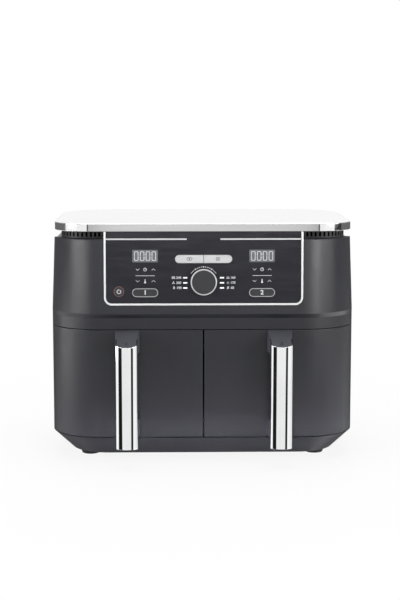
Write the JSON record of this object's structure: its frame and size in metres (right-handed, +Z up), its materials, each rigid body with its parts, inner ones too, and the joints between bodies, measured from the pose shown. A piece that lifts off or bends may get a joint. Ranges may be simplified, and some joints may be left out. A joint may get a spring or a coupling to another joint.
{
  "type": "air fryer",
  "caption": "Countertop air fryer with side-by-side sliding drawers, tall half-round handles, a leaning control panel with dial and keys, and a flat vented lid.",
  "frame": {"origin": "on the resting surface, under the middle of the whole object with its handles", "axes": "+X to the user's right, +Y from front to back, +Z up"},
  "size_m": [0.415, 0.316, 0.325],
  "materials": {
    "housing_charcoal": "satin charcoal moulding",
    "lid_steel": "brushed stainless sheet",
    "chrome_trim": "polished chrome",
    "collar_black": "black moulding",
    "panel_black": "smoked gloss panel",
    "display_glass": "smoked lens over the digits",
    "light_pipe": "clear white light pipe",
    "key_black": "black key cap",
    "key_silver": "silver lacquer",
    "handle_plastic": "grey moulding",
    "rubber_foot": "black rubber",
    "silicone": "black silicone",
    "nonstick": "dark non-stick coating",
    "liner_steel": "plated sheet",
    "zinc_screw": "zinc plate",
    "black_screw": "black oxide",
    "heater_sheath": "heat-stained sheath",
    "motor_can": "pressed steel can",
    "fan_aluminium": "bare pressing",
    "fan_plastic": "moulded fan",
    "circuit_board": "green solder mask",
    "component_black": "component bodies",
    "inner_plastic": "black heat-proof moulding"
  },
  "bodies": {
    "housing": {"outer_housing": "housing_charcoal", "base_tray": "housing_charcoal", "base_feet": "rubber_foot", "base_screws": "black_screw", "rear_cover": "inner_plastic", "rear_screws": "black_screw", "cord_gland": "inner_plastic", "vent_collar": "collar_black", "top_lid": "lid_steel", "control_panel": "panel_black", "panel_trim": "chrome_trim", "panel_rules": "chrome_trim", "display_lenses": "display_glass", "display_modules": "component_black", "function_lights": "light_pipe", "control_board": "circuit_board", "key_switches": "component_black", "dial_encoder": "component_black", "power_board": "circuit_board", "bay_frame": "inner_plastic", "drawer_runners": "liner_steel", "motor_screws": "zinc_screw", "exhaust_ducts": "liner_steel", "heater_guards": "liner_steel", "cavity_liner_1": "liner_steel", "heater_coil_1": "heater_sheath", "motor_1": "motor_can", "cavity_liner_2": "liner_steel", "heater_coil_2": "heater_sheath", "motor_2": "motor_can"},
    "drawer_1": {"drawer_front_1": "housing_charcoal", "drawer_backplate_1": "inner_plastic", "drawer_pan_1": "nonstick", "handle_grip_1": "handle_plastic", "handle_chrome_1": "chrome_trim", "handle_screws_1": "zinc_screw"},
    "plate_1": {"crisper_plate_1": "nonstick", "plate_bumpers_1": "silicone"},
    "fan_1": {"impeller_1": "fan_aluminium", "cooling_fan_1": "fan_plastic", "fan_shaft_1": "zinc_screw"},
    "drawer_2": {"drawer_front_2": "housing_charcoal", "drawer_backplate_2": "inner_plastic", "drawer_pan_2": "nonstick", "handle_grip_2": "handle_plastic", "handle_chrome_2": "chrome_trim", "handle_screws_2": "zinc_screw"},
    "plate_2": {"crisper_plate_2": "nonstick", "plate_bumpers_2": "silicone"},
    "fan_2": {"impeller_2": "fan_aluminium", "cooling_fan_2": "fan_plastic", "fan_shaft_2": "zinc_screw"},
    "dial_rotor": {"dial_rotor": "inner_plastic"},
    "dial_knob": {"dial_cap": "panel_black", "dial_ring": "chrome_trim"},
    "key_power": {"key_power": "key_black"},
    "key_zone_1": {"key_zone_1": "key_black"},
    "key_zone_2": {"key_zone_2": "key_black"},
    "key_pair_1": {"key_pair_1": "key_silver"},
    "key_pair_2": {"key_pair_2": "key_silver"}
  },
  "joints": [
    {"name": "drawer_1_slide", "type": "slide", "parent": "housing", "child": "drawer_1", "axis": [0, -1, 0], "range_m": [0, 0.23]},
    {"name": "plate_1_lift", "type": "slide", "parent": "drawer_1", "child": "plate_1", "axis": [0, 0, 1], "range_m": [0, 0.115]},
    {"name": "fan_1_spin", "type": "hinge", "parent": "housing", "child": "fan_1", "pos_m": [-0.09775, 0.0299, 0.241], "axis": [0, 0, 1], "continuous": true},
    {"name": "drawer_2_slide", "type": "slide", "parent": "housing", "child": "drawer_2", "axis": [0, -1, 0], "range_m": [0, 0.23]},
    {"name": "plate_2_lift", "type": "slide", "parent": "drawer_2", "child": "plate_2", "axis": [0, 0, 1], "range_m": [0, 0.115]},
    {"name": "fan_2_spin", "type": "hinge", "parent": "housing", "child": "fan_2", "pos_m": [0.09775, 0.0299, 0.241], "axis": [0, 0, 1], "continuous": true},
    {"name": "dial_turn", "type": "hinge", "parent": "housing", "child": "dial_rotor", "pos_m": [0, -0.11543, 0.24731], "axis": [0, -0.9982, 0.0593], "continuous": true},
    {"name": "dial_push", "type": "slide", "parent": "dial_rotor", "child": "dial_knob", "axis": [0, 0.9982, -0.0593], "range_m": [0, 0.0012], "stiffness_N_per_m": 900},
    {"name": "key_power_press", "type": "slide", "parent": "housing", "child": "key_power", "axis": [0, 0.9982, -0.0593], "range_m": [0, 0.0008], "stiffness_N_per_m": 800},
    {"name": "key_zone_1_press", "type": "slide", "parent": "housing", "child": "key_zone_1", "axis": [0, 0.9982, -0.0593], "range_m": [0, 0.0008], "stiffness_N_per_m": 800},
    {"name": "key_zone_2_press", "type": "slide", "parent": "housing", "child": "key_zone_2", "axis": [0, 0.9982, -0.0593], "range_m": [0, 0.0008], "stiffness_N_per_m": 800},
    {"name": "key_pair_1_press", "type": "slide", "parent": "housing", "child": "key_pair_1", "axis": [0, 0.9982, -0.0593], "range_m": [0, 0.0008], "stiffness_N_per_m": 800},
    {"name": "key_pair_2_press", "type": "slide", "parent": "housing", "child": "key_pair_2", "axis": [0, 0.9982, -0.0593], "range_m": [0, 0.0008], "stiffness_N_per_m": 800}
  ]
}
